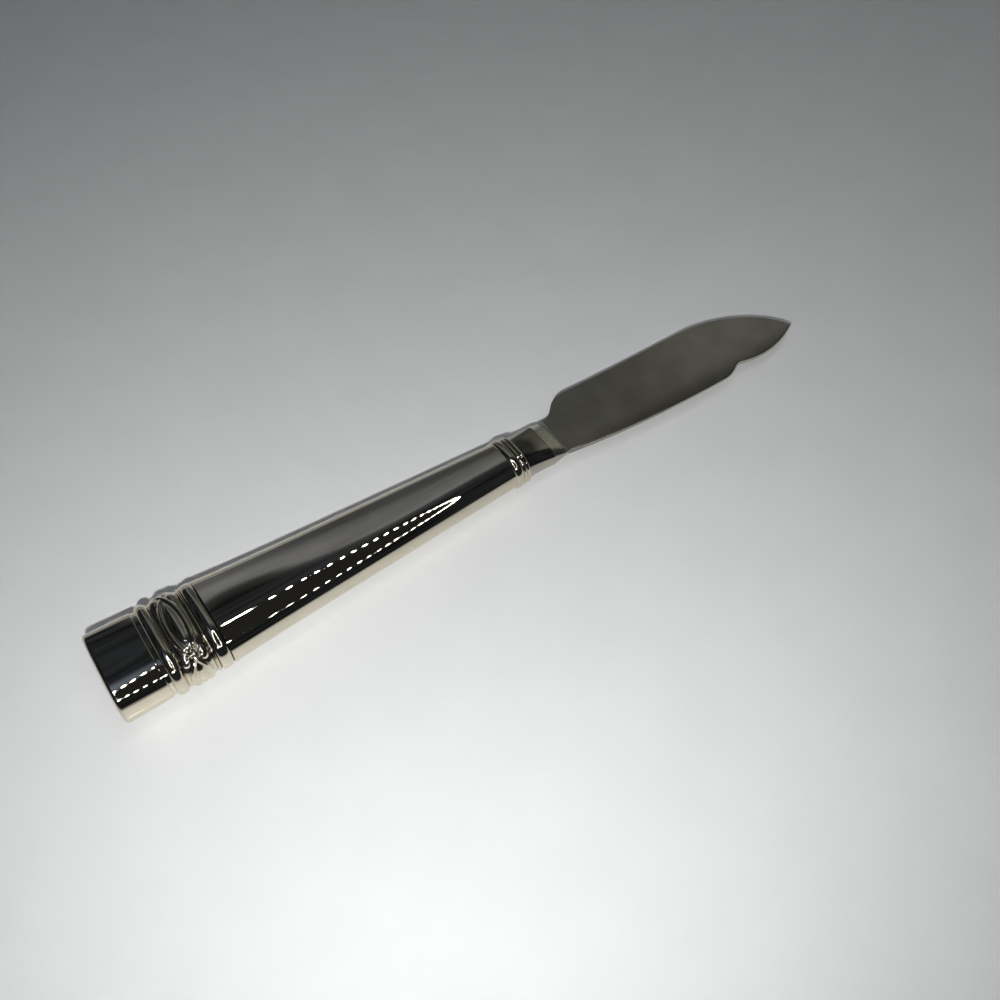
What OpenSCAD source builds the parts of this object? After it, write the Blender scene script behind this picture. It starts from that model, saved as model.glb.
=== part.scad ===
// Master butter knife with a hollow handle: two stamped half shells soldered along a seam,
// and a blade forged in one with its bolster and tang, which is cemented into the handle.
// The knife lies along X, from the butt to the tip, with the flat of the blade facing up.

/* [Handle] */
// Length of the handle, from the butt to the mouth
handle_len = 96.7; // [80:0.1:125]
// Width across the butt
butt_w = 20.0; // [17:0.1:24]
// Thickness of the butt
butt_t = 10.8; // [9:0.1:14]
// Width across the shaft where it leaves the rings
shaft_w = 19.3; // [16:0.1:22]
// Thickness of the shaft where it leaves the rings
shaft_t = 9.8; // [8:0.1:12]
// Width across the mouth of the handle
mouth_w = 11.1; // [9.5:0.1:14]
// Thickness of the mouth of the handle
mouth_t = 7.9; // [7:0.1:10]
// Wall of the stamped shells
wall = 0.8; // [0.6:0.05:1.1]
// Squareness of the butt's cross section, where 2 is an ellipse
butt_power = 2.9; // [2:0.1:4]
// Squareness of the shaft's cross section, where 2 is an ellipse
shaft_power = 2.4; // [2:0.1:4]
// Radius of the edge round the butt's end
end_radius = 0.8; // [0.6:0.1:2.2]
// Height of the crown on the butt's end
end_crown = 0.4; // [0.1:0.1:1]
// Extra half width of the shaft where it flares into the rings
flare = 0.3; // [0:0.05:0.6]
// Length over which the flare dies away
flare_len = 7; // [3:0.5:15]

/* [Rings at the butt] */
// Length of the plain block behind the rings
block_len = 10.2; // [7:0.1:14]
// Width of the groove between the block and the first ring
groove_len = 0.7; // [0.4:0.05:1.2]
// Depth of the grooves beside the rings
groove_depth = 0.3; // [0.1:0.05:0.4]
// Width of the round ring behind the frieze
rear_ring_len = 2.5; // [1.5:0.1:4]
// Height of the round ring behind the frieze
rear_ring_h = 0.55; // [0.2:0.05:0.9]
// Width of the ornamented frieze
frieze_len = 6.1; // [4.5:0.1:9]
// Height of the frieze's crown at its middle
frieze_h = 0.35; // [0.1:0.05:0.8]
// Width of the fine ridge in front of the frieze
ridge_len = 0.7; // [0.4:0.05:1.2]
// Height of the fine ridge
ridge_h = 0.2; // [0.1:0.05:0.5]
// Width of the flat ring in front of the frieze
front_ring_len = 2.6; // [1.5:0.1:4]
// Height of the flat ring
front_ring_h = 0.45; // [0.2:0.05:0.9]

/* [Interlace on the frieze] */
// Number of ovals round the handle
oval_count = 4; // [4:4:8]
// Half height of an oval, as a share of the frieze's half width
oval_reach = 0.62; // [0.45:0.01:0.7]
// Half width of a strand
strand_w = 0.55; // [0.35:0.05:0.8]
// Height of a strand
strand_h = 0.32; // [0.1:0.02:0.5]
// Height of the leaf inside each oval
leaf_h = 0.26; // [0.1:0.02:0.4]
// Space between a leaf and the strands round it
leaf_gap = 0.95; // [0.7:0.05:1.2]
// Height of the pads beside each crossing of the strands
pad_h = 0.26; // [0.1:0.02:0.4]
// Half length of a pad along the handle
pad_half_len = 0.85; // [0.5:0.05:1]

/* [Collar at the mouth] */
// Width of the round ring of the collar
collar_ring_len = 2.1; // [1.2:0.1:3.5]
// Height of the round ring of the collar
collar_ring_h = 0.45; // [0.2:0.05:1]
// Width of each fine bead of the collar
bead_len = 0.9; // [0.6:0.05:1.5]
// Height of each fine bead of the collar
bead_h = 0.3; // [0.15:0.05:0.6]
// Number of fine beads
bead_count = 2; // [1:1:3]

/* [Bolster and tang] */
// Length of the neck between the handle and the ramp
neck_len = 6.8; // [5:0.1:14]
// Length of the ramp from the neck down to the blade
ramp_len = 3.9; // [1.5:0.1:6]
// Width of the neck at the ramp
neck_w = 10.9; // [9:0.1:13]
// Thickness of the neck at the ramp
neck_t = 4.8; // [4:0.1:7.5]
// Squareness of the neck's cross section, where 2 is an ellipse
neck_power = 2.4; // [2:0.1:5]
// Depth of the hollow round the neck
neck_hollow = 0.15; // [0:0.05:0.4]
// How far the bolster's end laps the wall of the shells
seat_lap = 0.6; // [0.3:0.05:0.6]
// Length of the tang inside the handle
tang_len = 46; // [25:0.5:60]
// Width of the tang
tang_w = 5.4; // [3.5:0.1:6.5]
// Thickness of the tang
tang_t = 3.2; // [2:0.1:4]

/* [Blade] */
// Length of the blade from the ramp to the tip
blade_len = 70.6; // [55:0.1:90]
// Width of the blade at its heel
heel_w = 10.2; // [8:0.1:12]
// Thickness of the blade along its spine
blade_t = 1.8; // [1.2:0.1:2.5]
// Distance from the knife's axis to the spine
spine_y = 9.8; // [7:0.1:12]
// Distance from the knife's axis to the edge, where the blade is widest
edge_y = 8.2; // [7:0.1:11]
// Length of the shoulder that rises from the neck to the spine
shoulder_len = 9.4; // [6:0.1:14]
// Hollow of the spine between its shoulder and the curve to the tip
spine_hollow = 0.4; // [0:0.05:1]
// Length of the curve from the spine to the tip
tip_curve_len = 26; // [18:0.5:34]
// Distance of the tip below the knife's axis
tip_y = 3.9; // [1:0.1:6]
// Distance from the tip back to the notch in the edge
notch_back = 19; // [14:0.5:24]
// Depth of the notch
notch_depth = 2.1; // [1:0.05:3.5]
// Length of the rise from the edge into the notch
notch_len = 7; // [5:0.5:10]
// Radius of the ground cheeks that thin the blade towards its edge
grind_radius = 70; // [60:5:300]

/* [Fits] */
// Thickness of the solder in the seam between the shells
seam_gap = 0.12; // [0.05:0.01:0.3]
// Clearance left round the cement
cement_clearance = 0.05; // [0.02:0.01:0.15]
// Length of the cement, from the mouth into the handle
cement_len = 52; // [30:0.5:66]

/* [Hidden] */

// Segments over half of the outer section, how many times finer the frieze is, and over half of the cavity
half_steps = 24;
frieze_fineness = 3;
cavity_steps = 12;
// Half angle of the narrow flat along the crest of the handle, and its dip, so that the knife lies on two lines
crest_angle = 180 / half_steps;
crest_dip = 0.005;
// Segments round the neck, and stations along it
neck_steps = 40;
hollow_steps = 6;
// Segments of a full circle
circle_steps = 360;
// Stations closer than this are one
same_place = 0.001;
// Stations over one ring, one fine bead, the frieze, the end radius, the flare and one curve of the blade
ring_steps = 6;
bead_steps = 4;
frieze_steps = 16;
end_steps = 4;
flare_steps = 5;
curve_steps = 12;
// Length of the crisp edges at the ends of the block and the shaft
edge_len = 0.15;
// How blunt the profiles are: a round ring, the flat ring and the frieze's crown
round_ring = 0.5;
flat_ring = 0.35;
frieze_crown = 0.7;
// How far a pad spreads round the handle, as a share of the strands' swing
pad_spread = 0.4;
// Pull of the curves' control points, as a share of each curve's length
even_pull = 0.33;
shoulder_pull = 0.42;
spine_pull = 0.42;
tip_pull = 0.88;
lobe_pull = 0.27;
lobe_swell = 0.37;
belly_pull = 0.67;
heel_pull = 0.8;
// Length of blade that is let into the neck, and the gap kept in thickness under the ramp's foot
blade_root = 3;
ramp_foot_inset = 0.1;

// Places along the knife, measured from the butt
groove_x = block_len;
rear_ring_x = groove_x + groove_len;
frieze_x = rear_ring_x + rear_ring_len;
ridge_x = frieze_x + frieze_len;
front_ring_x = ridge_x + ridge_len;
shaft_x = front_ring_x + front_ring_len;
collar_len = collar_ring_len + bead_count * bead_len;
collar_x = handle_len - collar_len;
ramp_x = handle_len + neck_len;
heel_x = ramp_x + ramp_len;
tip_x = heel_x + blade_len;
tang_x = handle_len - tang_len;
cement_x = handle_len - cement_len;

// Small helpers
function mix(a, b, share) = a + (b - a) * share;
function share_of(x, from, to) = min(max((x - from) / (to - from), 0), 1);
function bulge(x, from, length, height, bluntness) =
    let (s = 2 * (x - from) / length - 1)
    abs(s) < 1 ? height * pow(1 - s * s, bluntness) : 0;
function curve(a, b, c, d, steps) = [
    for (i = [0 : steps - 1])
        let (t = i / steps, u = 1 - t)
        u * u * u * a + 3 * u * u * t * b + 3 * u * t * t * c + t * t * t * d
];
function round_steps(from, length, steps) = [
    for (i = [0 : steps]) from + length * (1 - cos(180 * i / steps)) / 2
];
function even_steps(from, length, steps) = [for (i = [0 : steps]) from + length * i / steps];

// Plain half width, half thickness and squareness of the handle, without its rings
function plain_half_w(x) = x < shaft_x
    ? mix(butt_w, shaft_w, share_of(x, 0, shaft_x)) / 2
    : mix(shaft_w, mouth_w, share_of(x, shaft_x, handle_len)) / 2;
function plain_half_t(x) = x < shaft_x
    ? mix(butt_t, shaft_t, share_of(x, 0, shaft_x)) / 2
    : mix(shaft_t, mouth_t, share_of(x, shaft_x, handle_len)) / 2;
function power_at(x) = mix(butt_power, shaft_power, share_of(x, 0, shaft_x));

// Height of the turned profile over the plain form: grooves, rings, frieze, flare and collar
function collar_height(x) =
    bulge(x, collar_x, collar_ring_len, collar_ring_h, round_ring)
    + max([for (i = [0 : bead_count - 1])
        bulge(x, collar_x + collar_ring_len + i * bead_len, bead_len, bead_h, round_ring)]);
function ring_height(x) =
    bulge(x, rear_ring_x, rear_ring_len, rear_ring_h + groove_depth, round_ring)
    + bulge(x, frieze_x, frieze_len, frieze_h + groove_depth, frieze_crown)
    + bulge(x, ridge_x, ridge_len, ridge_h + groove_depth, round_ring)
    + bulge(x, front_ring_x, front_ring_len, front_ring_h + groove_depth, flat_ring);
function profile_height(x) =
    x < groove_x || x > collar_x ? collar_height(x)
    : x <= shaft_x ? ring_height(x) - groove_depth
    : flare * exp(-(x - shaft_x) / flare_len);

// How far the rounded edge of the butt's end draws the section in
function end_inset(x) =
    let (d = end_radius - (x - end_crown))
    d <= 0 ? 0 : end_radius - sqrt(max(end_radius * end_radius - d * d, 0));

// Interlace: two strands that weave round the handle, a leaf in each oval between them, and pads beside
// each crossing, where the swing is small
function strand(offset) = strand_h * max(0, 1 - pow(offset / strand_w, 2));
function leaf(offset, reach) = reach > 0 && abs(offset) < reach
    ? leaf_h * sqrt(1 - pow(offset / reach, 2)) * min(1, reach / strand_w)
    : 0;
function pad(offset, swing_share) =
    pad_h * sqrt(max(0, 1 - pow(offset / pad_half_len, 2) - pow(swing_share / pad_spread, 2)));
function interlace(x, angle) =
    let (
        offset = x - frieze_x - frieze_len / 2,
        swing_share = cos(oval_count / 2 * (angle - 90)),
        swing = oval_reach * frieze_len / 2 * swing_share,
        reach = abs(swing) - leaf_gap,
        pad_offset = abs(offset) - oval_reach * frieze_len / 2
    )
    abs(offset) < frieze_len / 2
        ? max(strand(offset - swing), strand(offset + swing), leaf(offset, reach), pad(pad_offset, swing_share))
        : 0;

// One point of a cross section, as half width and half thickness with a squareness
function section_point(x, half_w, half_t, power, angle) = [
    x,
    half_w * sign(cos(angle)) * pow(abs(cos(angle)), 2 / power),
    half_t * sign(sin(angle)) * pow(abs(sin(angle)), 2 / power)
];

// Upper half of the handle's outer section at one station
function outer_half(x, steps) = [
    for (i = [0 : steps])
        let (
            angle = 180 * i / steps,
            grow = profile_height(x) - end_inset(x) + interlace(x, angle),
            half_t = plain_half_t(x) + grow,
            point = section_point(x, plain_half_w(x) + grow, half_t, power_at(x), angle),
            crest = section_point(x, 0, half_t, power_at(x), 90 - crest_angle)
        )
        [x, point[1], abs(angle - 90) < crest_angle ? crest[2] - crest_dip : point[2]]
];
// Upper half of the cavity's section, one wall inside the outer one, and behind it at the butt's end
function inner_half(x) =
    let (
        grow = profile_height(x) - end_inset(x) - wall,
        behind = wall * (1 - share_of(x, 0, end_crown + end_radius))
    )
    [for (i = [0 : cavity_steps])
        section_point(x + behind, plain_half_w(x) + grow, plain_half_t(x) + grow, power_at(x),
            180 * i / cavity_steps)];

// Stations of the outer surface, from the rounded butt to the mouth
end_stations = [for (i = [0 : end_steps]) end_crown + end_radius * (1 - cos(90 * i / end_steps))];
rear_stations = concat(
    end_stations,
    [groove_x - edge_len, groove_x],
    round_steps(rear_ring_x, rear_ring_len, ring_steps)
);
frieze_stations = even_steps(frieze_x, frieze_len, frieze_steps);
front_stations = concat(
    round_steps(ridge_x, ridge_len, bead_steps),
    round_steps(front_ring_x, front_ring_len, ring_steps),
    even_steps(shaft_x + edge_len, 2 * flare_len, flare_steps),
    round_steps(collar_x, collar_ring_len, ring_steps),
    [for (i = [0 : bead_count - 1])
        each round_steps(collar_x + collar_ring_len + i * bead_len, bead_len, bead_steps)]
);
// Two stations that share a place are one, and the ends of the frieze belong to the finer rings
function distinct(list, low, high) = [
    for (i = [0 : len(list) - 1])
        if (list[i] > low && list[i] < high && (i == 0 || list[i] - list[i - 1] > same_place)) list[i]
];
behind_frieze = distinct(rear_stations, 0, frieze_x - same_place);
before_frieze = distinct(front_stations, ridge_x + same_place, handle_len + same_place);
outer_rings = concat(
    [[[0, 0, 0]]],
    [for (x = behind_frieze) outer_half(x, half_steps)],
    [for (x = frieze_stations) outer_half(x, half_steps * frieze_fineness)],
    [for (x = before_frieze) outer_half(x, half_steps)]
);
inner_rings = concat(
    [[[wall, 0, 0]]],
    [for (x = concat(behind_frieze, frieze_stations, before_frieze)) inner_half(x)]
);

// Height of the knife's axis when the handle lies on its highest ring
axis_z = max([for (ring = outer_rings) for (p = ring) p[2]]) + seam_gap / 2;

// Triangles between two rows of points, where one row may be a point or a whole number of times finer
function band(a, na, b, nb) =
    na == 1 ? [for (j = [0 : nb - 2]) [a, b + j, b + j + 1]]
    : na == nb ? [for (j = [0 : na - 2]) each [[a + j, b + j + 1, a + j + 1], [a + j, b + j, b + j + 1]]]
    : nb > na ? [
        for (j = [0 : na - 2])
            let (k = (nb - 1) / (na - 1), half = floor(k / 2))
            each concat(
                [for (q = [0 : k - 1]) [a + j + (q < half ? 0 : 1), b + k * j + q, b + k * j + q + 1]],
                [[a + j, b + k * j + half, a + j + 1]]
            )
    ]
    : [for (f = band(b, nb, a, na)) [f[0], f[2], f[1]]];
function row_starts(rows, first) = [
    for (i = 0, s = first; i < len(rows); s = s + len(rows[i]), i = i + 1) s
];
function skin(rows, starts) = [
    for (i = [0 : len(rows) - 2]) each band(starts[i], len(rows[i]), starts[i + 1], len(rows[i + 1]))
];

// A half shell: the outer skin, the cavity's skin, the rim along the seam and the end at the mouth
module half_shell() {
    outer_starts = row_starts(outer_rings, 0);
    outer_points = [for (r = outer_rings) each r];
    inner_starts = row_starts(inner_rings, len(outer_points));
    inner_points = [for (r = inner_rings) each r];
    last = len(outer_rings) - 1;
    rims = [
        for (i = [0 : last - 1])
            let (
                a = outer_starts[i], b = outer_starts[i + 1], c = inner_starts[i], d = inner_starts[i + 1],
                a_end = a + len(outer_rings[i]) - 1, b_end = b + len(outer_rings[i + 1]) - 1,
                c_end = c + len(inner_rings[i]) - 1, d_end = d + len(inner_rings[i + 1]) - 1
            )
            each [[b, a, c], [b, c, d], [a_end, b_end, d_end], [a_end, d_end, c_end]]
    ];
    mouth = band(outer_starts[last], len(outer_rings[last]), inner_starts[last], len(inner_rings[last]));
    faces = concat(
        skin(outer_rings, outer_starts),
        [for (f = skin(inner_rings, inner_starts)) [f[0], f[2], f[1]]],
        rims,
        mouth
    );
    translate([0, 0, seam_gap / 2]) polyhedron(concat(outer_points, inner_points), faces);
}

// Solid through a row of closed loops with equal counts of points
module loft(loops) {
    n = len(loops[0]);
    sides = [
        for (i = [0 : len(loops) - 2], j = [0 : n - 1])
            let (a = i * n, b = a + n, k = (j + 1) % n)
            each [[a + j, b + k, a + k], [a + j, b + j, b + k]]
    ];
    ends = [
        [for (j = [0 : n - 1]) j],
        [for (j = [n - 1 : -1 : 0]) (len(loops) - 1) * n + j]
    ];
    polyhedron([for (l = loops) each l], concat(sides, ends));
}
function loop_at(x, half_w, half_t, power, steps) = [
    for (i = [0 : steps - 1]) section_point(x, half_w, half_t, power, 360 * i / steps)
];

// Puts the knife on the ground, with its length centred on the origin
module place() {
    translate([-tip_x / 2, 0, axis_z]) children();
}

// The bolster's neck: it laps the mouth of the handle and ends in the ramp down to the blade
seat_half_w = mouth_w / 2 - wall + seat_lap;
seat_half_t = mouth_t / 2 - wall + seat_lap;
function neck_loop(share) =
    let (hollow = neck_hollow * sin(180 * share))
    loop_at(handle_len + neck_len * share, mix(seat_half_w, neck_w / 2, share) - hollow,
        mix(seat_half_t, neck_t / 2, share) - hollow, mix(shaft_power, neck_power, share), neck_steps);
module neck() {
    foot_half_t = blade_t / 2 - ramp_foot_inset;
    loft(concat(
        [for (i = [0 : hollow_steps]) neck_loop(i / hollow_steps)],
        [loop_at(heel_x, heel_w / 2, foot_half_t, neck_power, neck_steps)]
    ));
}

// Outline of the blade: shoulder, spine, curve to the tip, lobe, notch and edge, back to the heel
module blade_outline() {
    half_heel = heel_w / 2;
    shoulder_a = [heel_x, half_heel];
    shoulder_b = shoulder_a + [shoulder_len, spine_y - half_heel];
    tip = [tip_x, -tip_y];
    spine_b = [tip_x - tip_curve_len, spine_y - spine_hollow / 2];
    notch_a = [tip_x - notch_back, -edge_y + notch_depth];
    notch_b = [notch_a[0] - notch_len, -edge_y];
    heel = [heel_x, -half_heel];
    spine_run = (spine_b - shoulder_b)[0];
    edge_run = (notch_b - heel)[0];
    tip_drop = spine_b[1] - tip[1];
    polygon(concat(
        [[heel_x - blade_root, -half_heel / 2], [heel_x - blade_root, half_heel / 2]],
        curve(shoulder_a, shoulder_a + [shoulder_pull * shoulder_len, 0],
            shoulder_b - [(1 - shoulder_pull) * shoulder_len, 0], shoulder_b, curve_steps),
        curve(shoulder_b, shoulder_b + [even_pull * spine_run, -spine_hollow],
            spine_b - [even_pull * spine_run, spine_hollow / 2], spine_b, curve_steps),
        curve(spine_b, spine_b + [spine_pull * tip_curve_len, 0],
            spine_b + [tip_pull * tip_curve_len, -spine_pull * tip_drop], tip, curve_steps),
        curve(tip, tip - [lobe_pull * notch_back, belly_pull * tip_y],
            notch_a + [lobe_swell * notch_back, -notch_depth], notch_a, curve_steps),
        curve(notch_a, notch_a - [lobe_pull * notch_len, 0],
            notch_b + [(1 - shoulder_pull) * notch_len, 0], notch_b, curve_steps),
        curve(notch_b, notch_b - [even_pull * edge_run, 0],
            heel + [even_pull * edge_run, -heel_pull * (edge_y - half_heel)], heel, curve_steps),
        [heel]
    ));
}

// Cross section of the blade: parallel from the spine to the axis, then ground thinner to the edge
module blade_section() {
    intersection_for (side = [-1, 1]) {
        translate([0, side * (blade_t / 2 - grind_radius)]) circle(r = grind_radius, $fn = circle_steps);
    }
    translate([0, -blade_t / 2]) square([2 * spine_y, blade_t]);
}

module blade() {
    color([0.42, 0.41, 0.37])
    place() union() {
        neck();
        intersection() {
            linear_extrude(height = 2 * blade_t, center = true) blade_outline();
            rotate([90, 0, 90]) linear_extrude(height = 2 * tip_x) blade_section();
        }
        translate([tang_x, -tang_w / 2, -tang_t / 2]) cube([tang_len + neck_len / 2, tang_w, tang_t]);
    }
}

module upper_handle_shell() {
    color([0.80, 0.79, 0.76])
    place() half_shell();
}

module lower_handle_shell() {
    color([0.78, 0.77, 0.74])
    place() mirror([0, 0, 1]) half_shell();
}

// Silver solder in the seam: the shells' rim in plan, one seam thick
module seam_solder() {
    outer_edge = [for (r = outer_rings) [r[0][0], r[0][1]]];
    inner_edge = [for (r = inner_rings) [r[0][0], r[0][1]]];
    outline = concat(
        [for (i = [len(outer_edge) - 1 : -1 : 0]) outer_edge[i]],
        [for (i = [1 : len(outer_edge) - 1]) [outer_edge[i][0], -outer_edge[i][1]]],
        [for (i = [len(inner_edge) - 1 : -1 : 0]) [inner_edge[i][0], -inner_edge[i][1]]],
        [for (i = [1 : len(inner_edge) - 1]) inner_edge[i]]
    );
    color([0.70, 0.69, 0.66])
    place() linear_extrude(height = seam_gap, center = true) polygon(outline);
}

// Cement that fills the front of the cavity round the tang
module tang_cement() {
    color([0.55, 0.47, 0.38])
    place() difference() {
        loft([
            for (x = [cement_x, handle_len])
                loop_at(x, plain_half_w(x) - wall - cement_clearance,
                    plain_half_t(x) - wall - cement_clearance, shaft_power, 2 * cavity_steps)
        ]);
        translate([tang_x, -tang_w / 2, -tang_t / 2]) cube([2 * tang_len, tang_w, tang_t]);
    }
}

upper_handle_shell();
lower_handle_shell();
seam_solder();
blade();
tang_cement();
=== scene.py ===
"""Looks of the master butter knife: shells with rings and frieze, bolster, blade, light and camera."""
import math

import bmesh
import bpy
import numpy as np
from mathutils import Matrix, Vector


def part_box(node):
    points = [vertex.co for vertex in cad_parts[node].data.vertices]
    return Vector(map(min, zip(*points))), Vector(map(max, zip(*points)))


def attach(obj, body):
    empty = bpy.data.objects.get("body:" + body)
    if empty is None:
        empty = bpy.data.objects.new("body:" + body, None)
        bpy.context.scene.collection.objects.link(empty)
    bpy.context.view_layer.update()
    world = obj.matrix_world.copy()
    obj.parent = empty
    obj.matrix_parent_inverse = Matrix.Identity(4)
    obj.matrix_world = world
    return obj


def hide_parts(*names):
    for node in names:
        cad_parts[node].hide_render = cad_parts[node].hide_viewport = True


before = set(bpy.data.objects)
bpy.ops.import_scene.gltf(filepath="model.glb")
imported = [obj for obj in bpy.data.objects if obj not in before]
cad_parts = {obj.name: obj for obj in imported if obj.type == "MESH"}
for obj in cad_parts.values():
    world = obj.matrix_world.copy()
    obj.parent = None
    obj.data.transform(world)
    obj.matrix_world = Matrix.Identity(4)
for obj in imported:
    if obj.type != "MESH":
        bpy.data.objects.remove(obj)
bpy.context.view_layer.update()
MM = 0.001

# Places of the solids, in millimetres
shell_low, shell_high = (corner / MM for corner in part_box("upper_handle_shell"))
blade_low, blade_high = (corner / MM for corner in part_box("blade"))
BUTT_X = shell_low.x
AXIS_Z = (blade_low.z + blade_high.z) / 2
HANDLE_LEN = shell_high.x - BUTT_X
TANG_X = blade_low.x - BUTT_X
TIP_X = blade_high.x - BUTT_X

# Handle, in millimetres from the butt and from the knife's axis
BUTT_W, BUTT_T = 20.0, 10.8
SHAFT_W, SHAFT_T = 19.3, 9.8
MOUTH_W, MOUTH_T = 11.1, 7.9
WALL = 0.8
BUTT_POWER, SHAFT_POWER = 2.9, 2.4
END_RADIUS, END_CROWN, END_START = 0.8, 0.4, 7
FLARE, FLARE_LEN = 0.3, 7.0
SEAM_GAP, SEAM_RECESS = 0.12, 0.012

# Rings and frieze at the butt
BLOCK_LEN, GROOVE_LEN, GROOVE_DEPTH = 10.2, 0.7, 0.3
REAR_RING_LEN, REAR_RING_H = 2.5, 0.55
FRIEZE_LEN, FRIEZE_H = 6.1, 0.35
RIDGE_LEN, RIDGE_H = 0.7, 0.2
FRONT_RING_LEN, FRONT_RING_H = 2.6, 0.45
ROUND_RING, FLAT_RING, FRIEZE_CROWN = 0.5, 0.35, 0.7
EDGE_LEN = 0.15
GROOVE_X = BLOCK_LEN
REAR_RING_X = GROOVE_X + GROOVE_LEN
FRIEZE_X = REAR_RING_X + REAR_RING_LEN
RIDGE_X = FRIEZE_X + FRIEZE_LEN
FRONT_RING_X = RIDGE_X + RIDGE_LEN
SHAFT_X = FRONT_RING_X + FRONT_RING_LEN

# Interlace on the frieze
OVALS = 4
OVAL_REACH = 0.62
STRAND_W, STRAND_H = 0.55, 0.32
STRAND_DIP, DIP_SPREAD = 0.55, 0.3
LEAF_H, LEAF_GAP = 0.26, 0.95
PAD_H, PAD_HALF_LEN, PAD_SPREAD = 0.26, 0.85, 0.4

# Collar at the mouth
COLLAR_RING_LEN, COLLAR_RING_H = 2.1, 0.45
BEAD_LEN, BEAD_H, BEADS = 0.9, 0.3, 2
COLLAR_X = HANDLE_LEN - COLLAR_RING_LEN - BEADS * BEAD_LEN

# Bolster, tang and blade
NECK_LEN, RAMP_LEN = 6.8, 3.9
NECK_W, NECK_T, NECK_POWER, NECK_HOLLOW = 10.9, 4.8, 3.4, 0.15
SEAT_LAP, FOOT_INSET = 0.6, 0.1
TANG_W, TANG_T, TANG_POWER = 5.4, 3.2, 12
BLADE_T, GRIND_RADIUS, HEEL_W = 1.8, 70.0, 10.2
SPINE_ROUND, EDGE_ROUND, RAMP_FILLET, RAMP_RUN_OUT = 0.1, 0.4, 0.3, 0.8
SPINE_Y, EDGE_Y, TIP_Y = 9.8, 8.2, 3.9
SHOULDER_LEN, SPINE_HOLLOW, TIP_CURVE_LEN = 9.4, 0.4, 26.0
NOTCH_BACK, NOTCH_DEPTH, NOTCH_LEN = 19.0, 2.1, 7.0
EVEN_PULL, SHOULDER_PULL, SPINE_PULL, TIP_PULL = 0.33, 0.42, 0.42, 0.88
LOBE_PULL, LOBE_SWELL, BELLY_PULL, HEEL_PULL = 0.27, 0.37, 0.67, 0.8
RAMP_X = HANDLE_LEN + NECK_LEN
HEEL_X = RAMP_X + RAMP_LEN

# Fineness of the meshes: steps across a section or a curve, and stations along each stretch
SECTION_STEPS, CAVITY_STEPS, DENSE_STEPS, BLADE_STEPS, CURVE_STEPS = 180, 24, 1440, 72, 60
DOME_STATIONS, END_STATIONS, BLOCK_STATIONS, BLOCK_EDGE_STATIONS, GROOVE_STATIONS = 14, 18, 10, 10, 5
REAR_RING_STATIONS, FRIEZE_STATIONS, RIDGE_STATIONS, FRONT_RING_STATIONS = 26, 110, 12, 28
RISE_STATIONS, SHAFT_STATIONS, SHAFT_CROWDING, COLLAR_STATIONS, BEAD_STATIONS = 6, 60, 1.6, 24, 16
NECK_STATIONS, RAMP_STATIONS, SHOULDER_STATIONS, SPINE_STATIONS, TIP_STATIONS = 48, 48, 46, 50, 90
DOME_START, STATION_GAP, TIP_MARGIN = 0.06, 0.02, 1.0
CREASE_DEG, WELD_REACH, LEAST_REACH, LEAST_FILLET = 40, 1e-7, 1e-6, 1e-4

# Materials: clouds and grain of the metals, and the range of the noise that is used
CLOUD_SCALE, CLOUD_DETAIL, FINE_DETAIL = 160, 3, 4
POLISH_SCALE, SATIN_SCALE = 2600, 1400
NOISE_RANGE, TONE_RANGE = (0.3, 0.7), (0.35, 0.65)

# Painted light and shade on the blade, darker at the heel and towards the edge, lighter towards the tip:
# axis, two places on it in metres, and the share of the colour at each
BLADE_PAINTED_SHADE = (("X", (0.036, 0.076), (0.82, 1.5)), ("Y", (-0.008, -0.003), (0.65, 1.0)))

# How level the faces are that take the ramp's metal: on the ramp, and in a band along the blade's edge as a
# painted highlight
RAMP_FACING, EDGE_HIGHLIGHT_FACING = 0.6, (0.25, 0.8)

# Floor: its radius in metres, and the sides of its rim
FLOOR_RADIUS, FLOOR_SIDES = 6.0, 96

# Camera, in millimetres from the butt on the table, with its angles in degrees
CAMERA_AT = (14.5, -111.6, 180.3)
CAMERA_YAW, CAMERA_PITCH, CAMERA_ROLL = 55.16, 54.14, 0.03
AXIS_HEIGHT, AXIS_TILT = 6.42, 1.22
SENSOR, LENS, CLIP_START = 36.0, 36.0, 5.0

# Lamp beside the lens, in millimetres to the right of the lens and above it, with its power in watts
KEY_RIGHT, KEY_UP, KEY_SIZE = -13.0, -27.0, 5.0
KEY_POWER, KEY_CONE, KEY_LEFT_TURN, KEY_UP_TURN = 1.46, 118.0, 1.0, 11.5

# Oval loop of small lamps overhead, in millimetres from the butt and the axis, and the dim diffuser in it
LOOP_AT, LOOP_HALF = (146.0, -185.0, 600.0), (172.0, 265.0)
LOOP_LAMPS, LOOP_LAMP_HALF, LOOP_STRENGTH = 96, (1.7, 9.0), 51.0
DIFFUSER_SHARE, DIFFUSER_STRENGTH = 0.93, 0.02
LAMP_SIDES, DIFFUSER_SIDES = 12, 96

# Room: brightness of the low wall, tones of the upper room by how far it points to the spine's side, shift
# of its dark part towards the butt, its colours towards the tip, a faint haze and a soft pale patch overhead
PALE_WALL, WALL_TOP, WALL_FADE = 0.45, 0.05, 0.13
ROOM_TONES = ((0.0, 0.006), (0.22, 0.012), (0.29, 0.05), (0.35, 0.20), (0.45, 0.20), (0.6, 0.13),
              (0.75, 0.07))
BUTT_SIDE, BUTT_SHIFT = (-0.1, 0.3), -0.9
COOL_TINT, WARM_TINT, DIM_TINT = (0.94, 1.0, 1.14), (1.0, 1.02, 0.84), (0.2, 0.2, 0.17)
TIP_COLORS = ((0.36, COOL_TINT), (0.44, WARM_TINT), (0.59, WARM_TINT), (0.67, DIM_TINT),
              (0.78, DIM_TINT), (0.83, WARM_TINT))
ROOM_CLOUD, ROOM_UNEVEN = 3.0, (0.75, 1.25)
HAZE_CLOUD, HAZE_SHARES, HAZE_COLOR = 7.0, (-0.2, 1.0), (0.026, 0.031, 0.04)
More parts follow.
